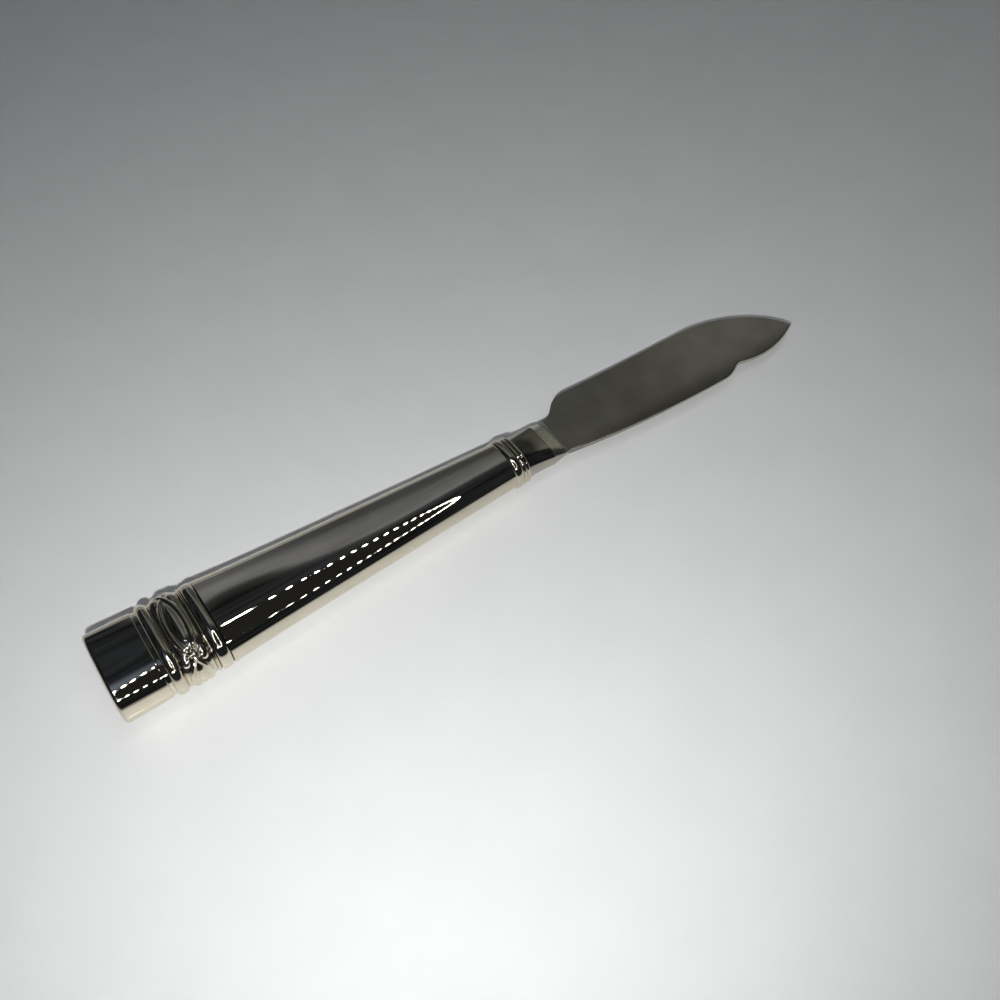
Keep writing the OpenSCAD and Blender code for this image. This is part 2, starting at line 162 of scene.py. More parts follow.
PATCH_AT, PATCH_REACH, PATCH_COLOR = (-0.08, 0.1, 0.99), 0.24, (0.22, 0.27, 0.39)


def mix(start, end, share):
    """The value at that share of the way from start to end."""
    return start + (end - start) * share


def share_of(x, low, high):
    """How far x lies on the way from low to high, from 0 to 1."""
    return np.clip((x - low) / (high - low), 0.0, 1.0)


def ease(share):
    """The share with a soft start and a soft end."""
    return share * share * (3 - 2 * share)


def bulge(x, start, length, height, bluntness):
    """Height of one rounded ring at x."""
    offset = 2 * (x - start) / length - 1
    return height * np.maximum(1 - offset * offset, 0.0) ** bluntness


def smooth_max(one, two, radius):
    """The larger of two heights, with a fillet where they cross."""
    share = np.clip(0.5 + 0.5 * (one - two) / radius, 0.0, 1.0)
    return mix(two, one, share) + radius * share * (1 - share)


# Form of the handle
def plain_half(x):
    """Half width and half thickness of the handle without its rings."""
    rear, front = share_of(x, 0, SHAFT_X), share_of(x, SHAFT_X, HANDLE_LEN)
    wide = np.where(x < SHAFT_X, mix(BUTT_W, SHAFT_W, rear), mix(SHAFT_W, MOUTH_W, front)) / 2
    thick = np.where(x < SHAFT_X, mix(BUTT_T, SHAFT_T, rear), mix(SHAFT_T, MOUTH_T, front)) / 2
    return wide, thick


def power_at(x):
    """Squareness of the handle's section at x."""
    return mix(BUTT_POWER, SHAFT_POWER, share_of(x, 0, SHAFT_X))


def collar_height(x):
    """Height of the collar's ring and its beads."""
    height = bulge(x, COLLAR_X, COLLAR_RING_LEN, COLLAR_RING_H, ROUND_RING)
    for i in range(BEADS):
        bead_x = COLLAR_X + COLLAR_RING_LEN + i * BEAD_LEN
        height = height + bulge(x, bead_x, BEAD_LEN, BEAD_H, ROUND_RING)
    return height


def ring_height(x):
    """Height of the rings, the frieze's band and the ridge over the floor of the grooves."""
    return (
        bulge(x, REAR_RING_X, REAR_RING_LEN, REAR_RING_H + GROOVE_DEPTH, ROUND_RING)
        + bulge(x, FRIEZE_X, FRIEZE_LEN, FRIEZE_H + GROOVE_DEPTH, FRIEZE_CROWN)
        + bulge(x, RIDGE_X, RIDGE_LEN, RIDGE_H + GROOVE_DEPTH, ROUND_RING)
        + bulge(x, FRONT_RING_X, FRONT_RING_LEN, FRONT_RING_H + GROOVE_DEPTH, FLAT_RING)
    )


def block_edge(x):
    """Rounded front edge of the plain block, down to the floor of the groove."""
    run = np.clip(x - (GROOVE_X - GROOVE_DEPTH), 0.0, GROOVE_DEPTH)
    return np.sqrt(GROOVE_DEPTH ** 2 - run ** 2) - GROOVE_DEPTH


def profile_height(x):
    """Height of the rings, grooves, flare and collar over the plain form."""
    shaft = FLARE * np.exp(-(x - SHAFT_X) / FLARE_LEN)
    height = np.where(x < GROOVE_X, block_edge(x), ring_height(x) - GROOVE_DEPTH)
    rise = share_of(x, SHAFT_X, SHAFT_X + EDGE_LEN)
    height = np.where(x > SHAFT_X, mix(-GROOVE_DEPTH, shaft, np.sqrt(rise)), height)
    return np.where(x >= COLLAR_X, collar_height(x), height)


def interlace(x, angle):
    """Height of the strands, leaves and pads; where two strands cross, one dips under the other."""
    offset = x - FRIEZE_X - FRIEZE_LEN / 2
    phase = OVALS / 2 * (angle - 90)
    swing_share = np.cos(np.radians(phase))
    swing = OVAL_REACH * FRIEZE_LEN / 2 * swing_share
    over = np.sign(np.sin(np.radians(phase)))
    dip = STRAND_DIP * np.exp(-(swing_share / DIP_SPREAD) ** 2)
    one = np.maximum(0, 1 - ((offset - swing) / STRAND_W) ** 2) * (1 - dip * (over > 0))
    two = np.maximum(0, 1 - ((offset + swing) / STRAND_W) ** 2) * (1 - dip * (over < 0))
    reach = np.maximum(np.abs(swing) - LEAF_GAP, 0.0)
    inside = np.maximum(1 - (offset / np.maximum(reach, LEAST_REACH)) ** 2, 0.0)
    leaf = LEAF_H * np.sqrt(inside) * np.minimum(1, reach / STRAND_W)
    pad_offset = np.abs(offset) - OVAL_REACH * FRIEZE_LEN / 2
    pad_room = 1 - (pad_offset / PAD_HALF_LEN) ** 2 - (swing_share / PAD_SPREAD) ** 2
    pad = PAD_H * np.sqrt(np.maximum(pad_room, 0.0))
    height = np.maximum.reduce([STRAND_H * one, STRAND_H * two, leaf, pad])
    return np.where(np.abs(offset) < FRIEZE_LEN / 2, height, 0.0)


def section(half_w, half_t, power, angle):
    """Points of a cross section with that squareness, at the given angles in degrees."""
    across, up = np.cos(np.radians(angle)), np.sin(np.radians(angle))
    y = half_w * np.sign(across) * np.abs(across) ** (2 / power)
    z = half_t * np.sign(up) * np.abs(up) ** (2 / power)
    return y, z


def even_angles(half_w, half_t, power, steps):
    """Angles of a half section that lie evenly along its curve."""
    dense = np.linspace(0, 180, DENSE_STEPS + 1)
    y, z = section(half_w, half_t, power, dense)
    along = np.concatenate([[0], np.cumsum(np.hypot(np.diff(y), np.diff(z)))])
    return np.interp(np.linspace(0, along[-1], steps + 1), along, dense)


def rounded(start, length, steps):
    """Stations over a ring, closer together at its feet."""
    return start + length * (1 - np.cos(np.pi * np.arange(steps) / steps)) / 2


def shell_stations():
    """Stations of the handle after its rounded end, from the butt to the mouth."""
    block_start, block_end = END_CROWN + END_RADIUS + STATION_GAP / 2, GROOVE_X - GROOVE_DEPTH
    shaft_run = np.linspace(0, 1, SHAFT_STATIONS) ** SHAFT_CROWDING
    runs = [
        np.linspace(block_start, block_end, BLOCK_STATIONS, endpoint=False),
        GROOVE_X - GROOVE_DEPTH * np.cos(np.linspace(0, np.pi / 2, BLOCK_EDGE_STATIONS)),
        np.linspace(GROOVE_X + STATION_GAP, REAR_RING_X, GROOVE_STATIONS, endpoint=False),
        rounded(REAR_RING_X, REAR_RING_LEN, REAR_RING_STATIONS),
        np.linspace(FRIEZE_X, RIDGE_X, FRIEZE_STATIONS, endpoint=False),
        rounded(RIDGE_X, RIDGE_LEN, RIDGE_STATIONS),
        rounded(FRONT_RING_X, FRONT_RING_LEN, FRONT_RING_STATIONS),
        SHAFT_X + EDGE_LEN * np.linspace(0, 1, RISE_STATIONS, endpoint=False) ** 2,
        SHAFT_X + EDGE_LEN + (COLLAR_X - STATION_GAP - SHAFT_X - EDGE_LEN) * shaft_run,
        rounded(COLLAR_X, COLLAR_RING_LEN, COLLAR_STATIONS),
    ]
    for i in range(BEADS):
        runs.append(rounded(COLLAR_X + COLLAR_RING_LEN + i * BEAD_LEN, BEAD_LEN, BEAD_STATIONS))
    return np.concatenate(runs + [[HANDLE_LEN]])


def end_rows():
    """Stations, insets and shrink of the rounded end: a low dome, then the rounded edge."""
    dome = np.linspace(DOME_START, 1, DOME_STATIONS)
    turn = np.radians(np.linspace(END_START, 90, END_STATIONS))
    x = np.concatenate([END_CROWN * dome[:-1] ** 2, END_CROWN + END_RADIUS * (1 - np.cos(turn))])
    rim = END_RADIUS * (1 - math.sin(turn[0]))
    inset = np.concatenate([np.full(len(dome) - 1, rim), END_RADIUS * (1 - np.sin(turn))])
    shrink = np.concatenate([dome[:-1], np.ones(len(turn))])
    return x, inset, shrink


def shell_rows(steps, inward):
    """Rows of points over the upper half of the handle, or of its cavity where inward is the wall."""
    end_x, end_inset, end_shrink = end_rows()
    body_x = shell_stations()
    xs = np.concatenate([end_x, body_x])
    insets = np.concatenate([end_inset, np.zeros(len(body_x))])
    shrinks = np.concatenate([end_shrink, np.ones(len(body_x))])
    rows = []
    for x, inset, shrink in zip(xs, insets, shrinks):
        half_w, half_t = plain_half(x)
        power = power_at(x)
        angles = even_angles(half_w, half_t, power, steps)
        grow = profile_height(x) - inset - inward
        if not inward:
            grow = grow + interlace(x, angles)
        y, z = section(half_w + grow, half_t + grow, power, angles)
        behind = inward * (1 - share_of(x, 0, END_CROWN + END_RADIUS))
        rows.append(np.stack([np.full_like(y, x + behind), shrink * y, shrink * z], -1))
    return np.array(rows)


# Mesh helpers
def metres(points):
    """Points in millimetres from the butt and the axis, in the frame in metres."""
    return (np.asarray(points, float).reshape(-1, 3) + (BUTT_X, 0.0, AXIS_Z)) * MM


def sheet_faces(rows, columns, first, flip):
    """Quads of a grid of points whose numbers start at first."""
    row, column = np.meshgrid(np.arange(rows - 1), np.arange(columns - 1), indexing="ij")
    corner = (first + row * columns + column).ravel()
    quads = np.stack([corner, corner + 1, corner + columns + 1, corner + columns], -1)
    return (quads[:, ::-1] if flip else quads).tolist()


def smooth(mesh):
    """Smooth shading, with creases where the faces turn sharply."""
    mesh.shade_smooth()
    mesh.set_sharp_from_angle(angle=math.radians(CREASE_DEG))


def make_object(name, points, faces, materials):
    """A mesh object in the scene, with smooth shading."""
    mesh = bpy.data.meshes.new(name)
    mesh.from_pydata(points.tolist(), [], faces)
    mesh.validate()
    for material in materials:
        mesh.materials.append(material)
    smooth(mesh)
    made = bpy.data.objects.new(name, mesh)
    bpy.context.scene.collection.objects.link(made)
    return made


# Handle shells and the solder between them
def half_shell(name, side, material):
    """One closed half shell: skin, cavity, rim along the seam and end at the mouth; side is 1 or -1."""
    outer = shell_rows(SECTION_STEPS, 0.0)
    inner = shell_rows(CAVITY_STEPS, WALL)
    rows, columns = outer.shape[:2]
    hollow = inner.shape[1]
    inner_first = rows * columns
    apex_out = inner_first + rows * hollow
    apex_in = apex_out + 1
    outer[..., 2] *= (shell_high.z - AXIS_Z - SEAM_GAP / 2) / outer[..., 2].max()
    points = np.concatenate([outer.reshape(-1, 3), inner.reshape(-1, 3), [[0, 0, 0], [WALL, 0, 0]]])
    points[:, 2] = side * (points[:, 2] + SEAM_GAP / 2)
    faces = sheet_faces(rows, columns, 0, False) + sheet_faces(rows, hollow, inner_first, True)
    faces += [[apex_out, j + 1, j] for j in range(columns - 1)]
    faces += [[apex_in, inner_first + j, inner_first + j + 1] for j in range(hollow - 1)]
    near = [apex_out] + [i * columns for i in range(rows)]
    far = [apex_out] + [i * columns + columns - 1 for i in range(rows)]
    near_in = [apex_in] + [inner_first + i * hollow for i in range(rows)]
    far_in = [apex_in] + [inner_first + i * hollow + hollow - 1 for i in range(rows)]
    faces += [[near[i], near[i + 1], near_in[i + 1], near_in[i]] for i in range(rows)]
    faces += [[far[i + 1], far[i], far_in[i], far_in[i + 1]] for i in range(rows)]
    last_out = [(rows - 1) * columns + j for j in range(columns)]
    last_in = [inner_first + (rows - 1) * hollow + j for j in range(hollow)]
    faces.append(last_out + last_in[::-1])
    if side < 0:
        faces = [face[::-1] for face in faces]
    return make_object(name, metres(points), faces, [material])


def seam(name, material):
    """Solder between the shells, a hair lower than their polished skins."""
    outer = shell_rows(SECTION_STEPS, 0.0)[:, 0]
    inner = shell_rows(CAVITY_STEPS, WALL)[:, 0]
    outer_edge = np.concatenate([outer[::-1], [[SEAM_RECESS, 0, 0]], outer * (1, -1, 1)])
    inner_edge = np.concatenate([inner[::-1], [[WALL, 0, 0]], inner * (1, -1, 1)])
    recess = np.sign(outer_edge[:, 1]) * SEAM_RECESS
    outer_edge = outer_edge - np.stack([0 * recess, recess, 0 * recess], -1)
    lift = np.array([0, 0, SEAM_GAP / 2])
    loops = np.stack([outer_edge + lift, outer_edge - lift, inner_edge - lift, inner_edge + lift], 1)
    count, corners = loops.shape[:2]
    faces = []
    for i in range(count - 1):
        here, ahead = corners * i, corners * (i + 1)
        for k in range(corners):
            after = (k + 1) % corners
            faces.append([here + k, here + after, ahead + after, ahead + k])
    faces += [list(reversed(range(corners))), [corners * (count - 1) + k for k in range(corners)]]
    return make_object(name, metres(loops), faces, [material])


# Bolster and blade
def bezier(*controls):
    """Points along a curve from the first control point to the fourth, drawn towards the two between."""
    along = np.linspace(0, 1, CURVE_STEPS + 1)[:, None]
    back = 1 - along
    shares = (back ** 3, 3 * back * back * along, 3 * back * along * along, along ** 3)
    return sum(share * np.array(control) for share, control in zip(shares, controls))


def blade_curves():
    """The spine's line and the edge's line of the blade, each from the heel to the tip."""
    half_heel = HEEL_W / 2
    shoulder = (HEEL_X + SHOULDER_LEN, SPINE_Y)
    spine_end = (TIP_X - TIP_CURVE_LEN, SPINE_Y - SPINE_HOLLOW / 2)
    tip = (TIP_X, -TIP_Y)
    notch = (TIP_X - NOTCH_BACK, -EDGE_Y + NOTCH_DEPTH)
    notch_foot = (notch[0] - NOTCH_LEN, -EDGE_Y)
    spine_run = spine_end[0] - shoulder[0]
    edge_run = notch_foot[0] - HEEL_X
    drop = spine_end[1] - tip[1]
    spine = [
        bezier((HEEL_X, half_heel), (HEEL_X + SHOULDER_PULL * SHOULDER_LEN, half_heel),
               (shoulder[0] - (1 - SHOULDER_PULL) * SHOULDER_LEN, SPINE_Y), shoulder),
        bezier(shoulder, (shoulder[0] + EVEN_PULL * spine_run, SPINE_Y - SPINE_HOLLOW),
               (spine_end[0] - EVEN_PULL * spine_run, spine_end[1] - SPINE_HOLLOW / 2), spine_end),
        bezier(spine_end, (spine_end[0] + SPINE_PULL * TIP_CURVE_LEN, spine_end[1]),
               (spine_end[0] + TIP_PULL * TIP_CURVE_LEN, spine_end[1] - SPINE_PULL * drop), tip),
    ]
    edge = [
        bezier((HEEL_X, -half_heel), (HEEL_X + EVEN_PULL * edge_run, -mix(half_heel, EDGE_Y, HEEL_PULL)),
               (notch_foot[0] - EVEN_PULL * edge_run, -EDGE_Y), notch_foot),
        bezier(notch_foot, (notch_foot[0] + (1 - SHOULDER_PULL) * NOTCH_LEN, -EDGE_Y),
               (notch[0] - LOBE_PULL * NOTCH_LEN, notch[1]), notch),
        bezier(notch, (notch[0] + LOBE_SWELL * NOTCH_BACK, notch[1] - NOTCH_DEPTH),
               (tip[0] - LOBE_PULL * NOTCH_BACK, tip[1] - BELLY_PULL * TIP_Y), tip),
    ]
    return np.concatenate(spine), np.concatenate(edge)


def blade_stations():
    """Stations from the end of the tang to the tip, each a place and the name of its stretch."""
    tip_run = NOTCH_BACK + NOTCH_LEN + TIP_MARGIN
    tip_share = np.sin(np.linspace(0, np.pi / 2, TIP_STATIONS))
    ramp_end, shoulder_x = HEEL_X + RAMP_RUN_OUT, HEEL_X + SHOULDER_LEN
    stretches = (
        ("tang", [TANG_X, HANDLE_LEN]),
        ("neck", np.linspace(HANDLE_LEN, RAMP_X, NECK_STATIONS)),
        ("ramp", np.linspace(RAMP_X, ramp_end, RAMP_STATIONS)[1:]),
        ("blade", np.linspace(ramp_end, shoulder_x, SHOULDER_STATIONS)[1:]),
        ("blade", np.linspace(shoulder_x, TIP_X - tip_run, SPINE_STATIONS)[1:]),
        ("blade", (TIP_X - tip_run + tip_run * tip_share)[1:]),
    )
    return [(float(x), name) for name, xs in stretches for x in xs]


def neck_form(x):
    """Half width, half thickness and squareness of the bolster at one station."""
    share = float(share_of(x, HANDLE_LEN, RAMP_X))
    hollow = NECK_HOLLOW * math.sin(math.pi * share)
    wide = mix(MOUTH_W / 2 - WALL + SEAT_LAP, NECK_W / 2, share) - hollow
    thick = mix(MOUTH_T / 2 - WALL + SEAT_LAP, NECK_T / 2, share) - hollow
    down = max(x - RAMP_X, 0.0) / RAMP_LEN
    wide = mix(wide, HEEL_W / 2, min(down, 1.0))
    thick = mix(thick, BLADE_T / 2 - FOOT_INSET, down)
    return wide, thick, mix(SHAFT_POWER, NECK_POWER, share)


def superellipse_top(y, half_w, half_t, power):
    """Height of a section with that squareness at y."""
    return half_t * np.maximum(1 - np.abs(y / half_w) ** power, 0.0) ** (1 / power)


def blade_top(y, low, high):
    """Height of the blade's cheek: flat by the spine, ground towards the edge, with rounded rims."""
    ground = np.sqrt(GRIND_RADIUS ** 2 - np.minimum(y, 0.0) ** 2) - (GRIND_RADIUS - BLADE_T / 2)
    for radius, inside in ((EDGE_ROUND, y - low), (SPINE_ROUND, high - y)):
        rim = np.clip(radius - inside, 0.0, radius)
        ground = ground - radius + np.sqrt(radius ** 2 - rim ** 2)
    return ground


def blade_rows():
    """Upper contour of every station from the edge to the spine."""
    spine, edge = blade_curves()
    turn = -np.cos(np.linspace(0, np.pi, BLADE_STEPS + 1))
    rows = []
    for x, name in blade_stations():
        wide, thick, power = neck_form(x)
        if name == "tang":
            wide, thick, power = TANG_W / 2, TANG_T / 2, TANG_POWER
        if name in ("tang", "neck"):
            y = wide * turn
            z = superellipse_top(y, wide, thick, power)
        else:
            low, high = np.interp(x, edge[:, 0], edge[:, 1]), np.interp(x, spine[:, 0], spine[:, 1])
            if x < HEEL_X:
                low, high = -wide, wide
            y = (low + high) / 2 + (high - low) / 2 * turn
            grown = float(ease(share_of(x, RAMP_X, HEEL_X)))
            z = grown * blade_top(y, low, high)
            if name == "ramp":
                fillet = RAMP_FILLET * grown + LEAST_FILLET
                z = smooth_max(superellipse_top(y, wide, thick, power), z, fillet)
        rows.append(np.stack([np.full_like(y, x), y, z], -1))
    return np.array(rows)


def blade_piece(name, metals):
    """Tang, bolster and blade as one closed forging, in the metals of bolster, ramp and blade; the ramp's
    metal on a band along the edge is a painted highlight.
    """
    top = blade_rows()
    rows, columns = top.shape[:2]
    bottom_first = rows * columns
    points = np.concatenate([top.reshape(-1, 3), (top * (1, 1, -1)).reshape(-1, 3)])
    faces = sheet_faces(rows, columns, 0, True) + sheet_faces(rows, columns, bottom_first, False)
    for j, flip in ((0, False), (columns - 1, True)):
        for i in range(rows - 1):
            here, ahead = i * columns + j, (i + 1) * columns + j
            side = [here, ahead, ahead + bottom_first, here + bottom_first]
            faces.append(side[::-1] if flip else side)
    start = list(range(columns))
    faces.append(start + [bottom_first + j for j in reversed(start)])
    last = (rows - 1) * columns
    faces.append([last + j for j in reversed(start)] + [bottom_first + last + j for j in start])
    made = make_object(name, metres(points), faces, metals)
    weld(made)
    bolster, ramp, blade = range(len(metals))
    for face in made.data.polygons:
        along = face.center.x / MM - BUTT_X
        level = abs(face.normal.z)
        # Painted highlight: a band of the edge's rounding takes the brighter ramp metal
        on_edge_highlight = face.normal.y < 0 and EDGE_HIGHLIGHT_FACING[0] < level < EDGE_HIGHLIGHT_FACING[1]
        on_ramp = along > RAMP_X and level > RAMP_FACING
        if along > HEEL_X:
            face.material_index = ramp if on_edge_highlight else blade
        else:
            face.material_index = ramp if on_ramp else bolster
    return made


def weld(made):
    """Joins points that share a place, such as the two sides of a sharp rim."""
    work = bmesh.new()
    work.from_mesh(made.data)
    bmesh.ops.remove_doubles(work, verts=work.verts, dist=WELD_REACH)
    bmesh.ops.recalc_face_normals(work, faces=work.faces)
    work.to_mesh(made.data)
    work.free()
    smooth(made.data)


# Materials
def new_material(name):
    """A material with its nodes and links."""
    made = bpy.data.materials.new(name)
    made.use_nodes = True
    return made, made.node_tree.nodes, made.node_tree.links


def add_noise(nodes, links, scale, detail, stretch=(1, 1, 1)):
    """Noise in the object's own metres, stretched along its axes."""
    place = nodes.new("ShaderNodeTexCoord")
    map_node = nodes.new("ShaderNodeMapping")
    map_node.inputs["Scale"].default_value = stretch
    noise = nodes.new("ShaderNodeTexNoise")
    noise.inputs["Scale"].default_value = scale
    noise.inputs["Detail"].default_value = detail
    links.new(place.outputs["Object"], map_node.inputs["Vector"])
    links.new(map_node.outputs["Vector"], noise.inputs["Vector"])
    return noise


def spread(nodes, links, noise, low, high):
    """The noise as a value from low to high."""
    node = nodes.new("ShaderNodeMapRange")
    node.inputs["From Min"].default_value, node.inputs["From Max"].default_value = NOISE_RANGE
    node.inputs["To Min"].default_value, node.inputs["To Max"].default_value = low, high
    links.new(noise.outputs["Fac"], node.inputs["Value"])
    return node.outputs["Result"]


def two_tone(nodes, links, noise, one, two):
    """The noise as a colour between two."""
    node = nodes.new("ShaderNodeValToRGB")
    for stop, position, color in zip(node.color_ramp.elements, TONE_RANGE, (one, two)):
        stop.position = position
        stop.color = (*color, 1)
    links.new(noise.outputs["Fac"], node.inputs["Fac"])
    return node.outputs["Color"]


def add_bump(nodes, links, noise, depth, before=None):
    """A bump of that depth in metres, on top of the one before it."""
    node = nodes.new("ShaderNodeBump")
    node.inputs["Strength"].default_value = 1.0
    node.inputs["Distance"].default_value = depth
    links.new(noise.outputs["Fac"], node.inputs["Height"])
    if before:
        links.new(before.outputs["Normal"], node.inputs["Normal"])
    return node


def metal(name, tones, roughness, ripple, grain, grain_stretch=(1, 1, 1), grain_scale=POLISH_SCALE):
    """Metal with two tones, a spread of roughness, and the depths of a ripple and a grain in metres."""
    made, nodes, links = new_material(name)
    shader = nodes["Principled BSDF"]
    shader.inputs["Metallic"].default_value = 1.0
    cloud = add_noise(nodes, links, CLOUD_SCALE, CLOUD_DETAIL)
    fine = add_noise(nodes, links, grain_scale, FINE_DETAIL, grain_stretch)
    links.new(two_tone(nodes, links, cloud, *tones), shader.inputs["Base Color"])
    links.new(spread(nodes, links, fine, *roughness), shader.inputs["Roughness"])
    soft = add_bump(nodes, links, cloud, ripple)
    sharp = add_bump(nodes, links, fine, grain, soft)
    links.new(sharp.outputs["Normal"], shader.inputs["Normal"])
    return made


def ranged(nodes, links, value, places, levels):
    """The value as a smooth step between two levels, from one place to the other."""
    node = nodes.new("ShaderNodeMapRange")
    node.interpolation_type = "SMOOTHSTEP"
    node.inputs["From Min"].default_value, node.inputs["From Max"].default_value = places
    node.inputs["To Min"].default_value, node.inputs["To Max"].default_value = levels
    links.new(value, node.inputs["Value"])
    return node.outputs["Result"]


def vector_math(nodes, links, operation, first):
    """A vector operation on the first value."""
    node = nodes.new("ShaderNodeVectorMath")
    node.operation = operation
    links.new(first, node.inputs[0])
    return node


def paint_shade_along(made, painted_shades):
    """Painted light and shade in a metal's colour along its axes, each shade from one place to another."""
    nodes, links = made.node_tree.nodes, made.node_tree.links
    color = nodes["Principled BSDF"].inputs["Base Color"]
    place = nodes.new("ShaderNodeTexCoord")
    parts = nodes.new("ShaderNodeSeparateXYZ")
    links.new(place.outputs["Object"], parts.inputs["Vector"])
    for axis, places, shares in painted_shades:
        scaled = vector_math(nodes, links, "SCALE", color.links[0].from_socket)
        links.new(ranged(nodes, links, parts.outputs[axis], places, shares), scaled.inputs["Scale"])
        links.new(scaled.outputs["Vector"], color)


def matt(name, tones, scale, roughness):
    """Plain matt surface with a faint mottle."""
    made, nodes, links = new_material(name)
    shader = nodes["Principled BSDF"]
    shader.inputs["Roughness"].default_value = roughness
    cloud = add_noise(nodes, links, scale, FINE_DETAIL)
    links.new(two_tone(nodes, links, cloud, *tones), shader.inputs["Base Color"])
    return made


silver = metal("polished_silver", tones=((0.67, 0.62, 0.51), (0.62, 0.57, 0.46)), roughness=(0.006, 0.02),
               ripple=0.000003, grain=0.0000002)
bolster_metal = metal("polished_bolster", tones=((0.48, 0.46, 0.40), (0.43, 0.41, 0.36)),
                      roughness=(0.06, 0.12), ripple=0.000006, grain=0.0000003)
ramp_and_edge_highlight_metal = metal("satin_ramp", tones=((0.82, 0.80, 0.70), (0.76, 0.74, 0.64)), roughness=(0.2, 0.28),
                   ripple=0.000001, grain=0.0000005, grain_stretch=(1, 7, 1), grain_scale=SATIN_SCALE)
blade_metal = metal("satin_steel", tones=((0.45, 0.42, 0.37), (0.38, 0.355, 0.31)), roughness=(0.28, 0.315),
                    ripple=0.000001, grain=0.00000015, grain_stretch=(7, 0.5, 1), grain_scale=SATIN_SCALE)
# Painted light and shade on the blade's steel: darker at the heel and the edge, lighter towards the tip
paint_shade_along(blade_metal, BLADE_PAINTED_SHADE)
solder_metal = metal("solder", tones=((0.78, 0.76, 0.70), (0.70, 0.68, 0.62)), roughness=(0.12, 0.2),
                     ripple=0.000002, grain=0.0000003)
cement = matt("tang_cement", tones=((0.50, 0.42, 0.33), (0.60, 0.52, 0.43)), scale=900, roughness=0.9)

for piece in (
    half_shell("upper_shell", 1, silver),
    half_shell("lower_shell", -1, silver),
):
    node = piece.name.replace("_shell", "_handle_shell")
    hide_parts(node)
    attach(piece, "root")

solder_piece = seam("solder_line", solder_metal)
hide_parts("seam_solder")
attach(solder_piece, "root")

forging = blade_piece("blade_forging", [bolster_metal, ramp_and_edge_highlight_metal, blade_metal])
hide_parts("blade")
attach(forging, "root")

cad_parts["tang_cement"].data.materials.clear()
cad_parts["tang_cement"].data.materials.append(cement)


# Stage: pale floor under the knife as it lies, on the frieze's leaf and on the collar
def floor_matrix():
    """Place of the surface that the frieze and the collar rest on."""
    frieze_x = FRIEZE_X + FRIEZE_LEN / 2
    collar_x = COLLAR_X + COLLAR_RING_LEN / 2
    deep = [float(plain_half(np.array(x))[1] + profile_height(np.array(x)) + relief) + SEAM_GAP / 2
            for x, relief in ((frieze_x, LEAF_H), (collar_x, 0.0))]
    slope = math.atan((deep[0] - deep[1]) / (collar_x - frieze_x))
    touch = Vector((BUTT_X + frieze_x, 0, AXIS_Z - deep[0])) * MM
    return Matrix.Translation(touch) @ Matrix.Rotation(-slope, 4, "Y")


def oval(half_w, half_h, steps):
    """Points of a level oval round its own centre."""
    turn = 2 * np.pi * np.arange(steps) / steps
    return np.stack([half_w * np.cos(turn), half_h * np.sin(turn), 0 * turn], -1)


floor_mesh = bpy.data.meshes.new("floor")
rim = oval(FLOOR_RADIUS, FLOOR_RADIUS, FLOOR_SIDES)
floor_mesh.from_pydata(rim.tolist(), [], [list(range(FLOOR_SIDES))])
floor = bpy.data.objects.new("floor", floor_mesh)
floor.matrix_world = floor_matrix()
table = matt("pale_table", tones=((0.81, 0.82, 0.815), (0.83, 0.84, 0.835)), scale=60, roughness=0.5)
floor_mesh.materials.append(table)
bpy.context.scene.collection.objects.link(floor)


# Camera
def camera_matrix():
    """Place of the camera: from the butt on the table to the knife's own frame."""
    yaw, pitch, roll = (math.radians(angle) for angle in (CAMERA_YAW, CAMERA_PITCH, CAMERA_ROLL))
    look = Vector((math.cos(pitch) * math.cos(yaw), math.cos(pitch) * math.sin(yaw), -math.sin(pitch)))
    turn = look.to_track_quat("-Z", "Y").to_matrix().to_4x4() @ Matrix.Rotation(-roll, 4, "Z")
    on_table = Matrix.Translation(Vector(CAMERA_AT) - Vector((0, 0, AXIS_HEIGHT))) @ turn
    tilt = Matrix.Rotation(-math.radians(AXIS_TILT), 4, "Y")
    placed = Matrix.Translation((BUTT_X, 0, AXIS_Z)) @ tilt @ on_table
    placed.translation *= MM
    return placed


camera = bpy.data.objects.new("camera", bpy.data.cameras.new("camera"))
camera.data.sensor_width = SENSOR
camera.data.lens = LENS
camera.data.clip_start = CLIP_START * MM
camera.matrix_world = camera_matrix()
bpy.context.scene.collection.objects.link(camera)
bpy.context.scene.camera = camera


# Light
def key_lamp():
    """Broad spot beside the lens, aimed a little to the left of the picture's middle and above it."""
    data = bpy.data.lights.new("key", "SPOT")
    data.shadow_soft_size = KEY_SIZE * MM / 2
    data.energy = KEY_POWER
    data.spot_size = math.radians(KEY_CONE)
    data.spot_blend = 1.0
    made = bpy.data.objects.new("key", data)
    beside = Vector((KEY_RIGHT * MM, KEY_UP * MM, 0))
    aside = Matrix.Rotation(math.radians(KEY_LEFT_TURN), 4, "Y")
    upward = Matrix.Rotation(math.radians(KEY_UP_TURN), 4, "X")
    made.matrix_world = camera.matrix_world @ Matrix.Translation(beside) @ aside @ upward
    bpy.context.scene.collection.objects.link(made)


def glow(name, strength):
    """A material that only shines."""
    made, nodes, links = new_material(name)
    shader = nodes.new("ShaderNodeEmission")
    shader.inputs["Strength"].default_value = strength
    links.new(shader.outputs["Emission"], nodes["Material Output"].inputs["Surface"])
    return made


def stage_mesh(name, points, faces, material):
    """A mesh that belongs to the stage and not to the knife."""
    made = make_object(name, metres(points), faces, [material])


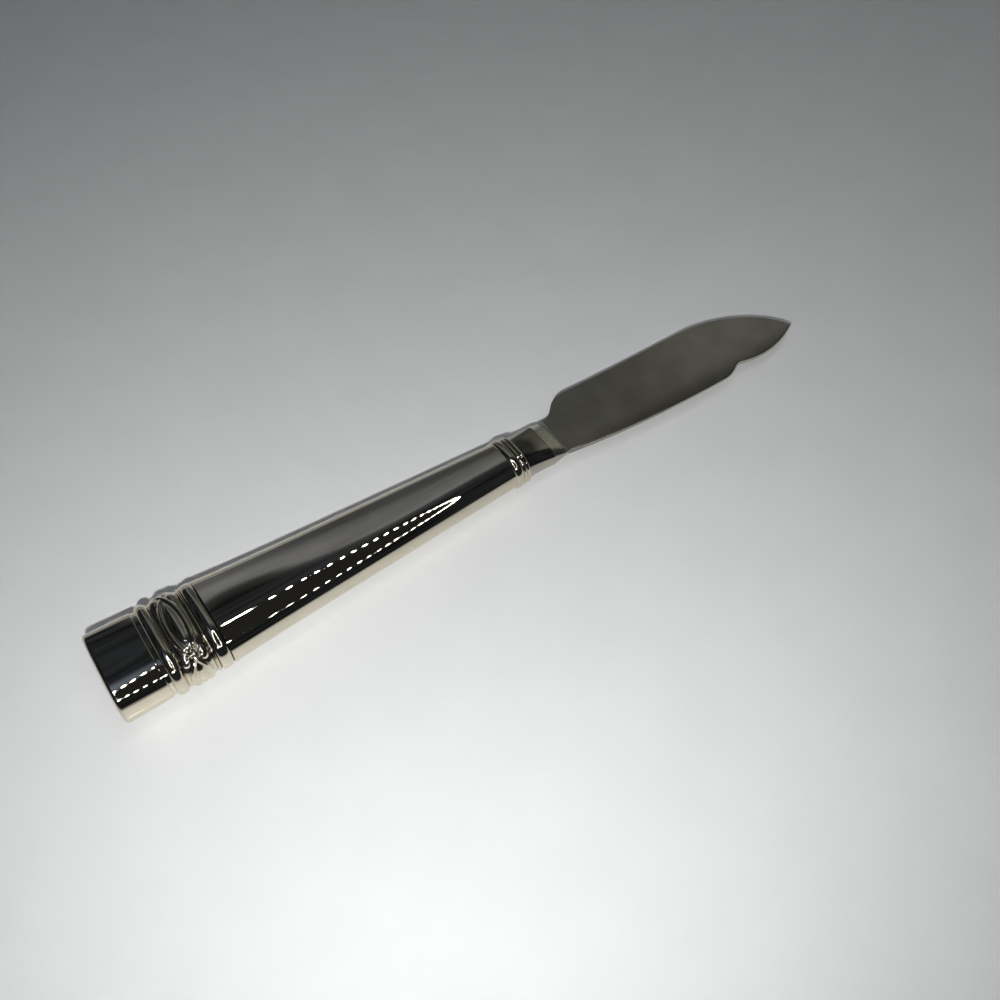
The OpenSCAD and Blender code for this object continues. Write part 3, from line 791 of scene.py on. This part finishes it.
def lamp_loop():
    """Loop of small lamps over the knife, round a dim diffuser."""
    disc = oval(*LOOP_LAMP_HALF, LAMP_SIDES)
    places = oval(*LOOP_HALF, LOOP_LAMPS) + LOOP_AT
    points = (places[:, None] + disc[None]).reshape(-1, 3)
    faces = np.arange(len(points)).reshape(LOOP_LAMPS, LAMP_SIDES)[:, ::-1].tolist()
    stage_mesh("lamp_loop", points, faces, glow("loop_lamp", LOOP_STRENGTH))
    inside = oval(*(DIFFUSER_SHARE * half for half in LOOP_HALF), DIFFUSER_SIDES) + LOOP_AT
    inside_face = list(reversed(range(DIFFUSER_SIDES)))
    stage_mesh("diffuser", inside, [inside_face], glow("dim_diffuser", DIFFUSER_STRENGTH))


def color_ramp(nodes, links, value, colors):
    """The value as a colour, through places and their colours."""
    ramp = nodes.new("ShaderNodeValToRGB")
    stops = ramp.color_ramp.elements
    while len(stops) < len(colors):
        stops.new(1.0)
    for stop, (place, color) in zip(stops, colors):
        stop.position = place
        stop.color = (*color, 1)
    links.new(value, ramp.inputs["Fac"])
    return ramp.outputs["Color"]


def scaled_color(nodes, links, color, share):
    """A share, from nothing upwards, of one colour."""
    level = nodes.new("ShaderNodeMath")
    level.operation = "MAXIMUM"
    links.new(share, level.inputs[0])
    level.inputs[1].default_value = 0.0
    node = nodes.new("ShaderNodeVectorMath")
    node.operation = "SCALE"
    node.inputs[0].default_value = color
    links.new(level.outputs["Value"], node.inputs["Scale"])
    return node.outputs["Vector"]


def room():
    """Dark room, paler towards the spine's side, with a haze, a patch overhead and a pale wall low down."""
    world = bpy.data.worlds.new("studio")
    bpy.context.scene.world = world
    world.use_nodes = True
    nodes, links = world.node_tree.nodes, world.node_tree.links
    place = nodes.new("ShaderNodeTexCoord")
    parts = nodes.new("ShaderNodeSeparateXYZ")
    links.new(place.outputs["Generated"], parts.inputs["Vector"])
    shift = ranged(nodes, links, parts.outputs["X"], BUTT_SIDE, (BUTT_SHIFT, 0.0))
    toward = nodes.new("ShaderNodeMath")
    links.new(parts.outputs["Y"], toward.inputs[0])
    links.new(shift, toward.inputs[1])
    greys = [(toward_spine, (tone, tone, tone)) for toward_spine, tone in ROOM_TONES]
    side = vector_math(nodes, links, "MULTIPLY", color_ramp(nodes, links, toward.outputs["Value"], greys))
    links.new(color_ramp(nodes, links, parts.outputs["X"], TIP_COLORS), side.inputs[1])
    cloud, haze_cloud = (nodes.new("ShaderNodeTexNoise") for _ in range(2))
    for noise, scale in ((cloud, ROOM_CLOUD), (haze_cloud, HAZE_CLOUD)):
        noise.inputs["Scale"].default_value = scale
        links.new(place.outputs["Generated"], noise.inputs["Vector"])
    shaded = vector_math(nodes, links, "SCALE", side.outputs["Vector"])
    links.new(spread(nodes, links, cloud, *ROOM_UNEVEN), shaded.inputs["Scale"])
    haze = scaled_color(nodes, links, HAZE_COLOR, spread(nodes, links, haze_cloud, *HAZE_SHARES))
    hazy = vector_math(nodes, links, "ADD", shaded.outputs["Vector"])
    links.new(haze, hazy.inputs[1])
    apart = vector_math(nodes, links, "DISTANCE", place.outputs["Generated"])
    apart.inputs[1].default_value = PATCH_AT
    nearness = ranged(nodes, links, apart.outputs["Value"], (0.0, PATCH_REACH), (1.0, 0.0))
    upper = vector_math(nodes, links, "ADD", hazy.outputs["Vector"])
    links.new(scaled_color(nodes, links, PATCH_COLOR, nearness), upper.inputs[1])
    wall = ranged(nodes, links, parts.outputs["Z"], (WALL_TOP, WALL_FADE), (0.0, 1.0))
    blend = nodes.new("ShaderNodeMix")
    blend.data_type = "RGBA"
    blend.inputs["A"].default_value = (PALE_WALL, PALE_WALL, PALE_WALL, 1)
    links.new(wall, blend.inputs["Factor"])
    links.new(upper.outputs["Vector"], blend.inputs["B"])
    links.new(blend.outputs["Result"], nodes["Background"].inputs["Color"])


key_lamp()
lamp_loop()
room()
bpy.context.scene.view_settings.view_transform = "Standard"
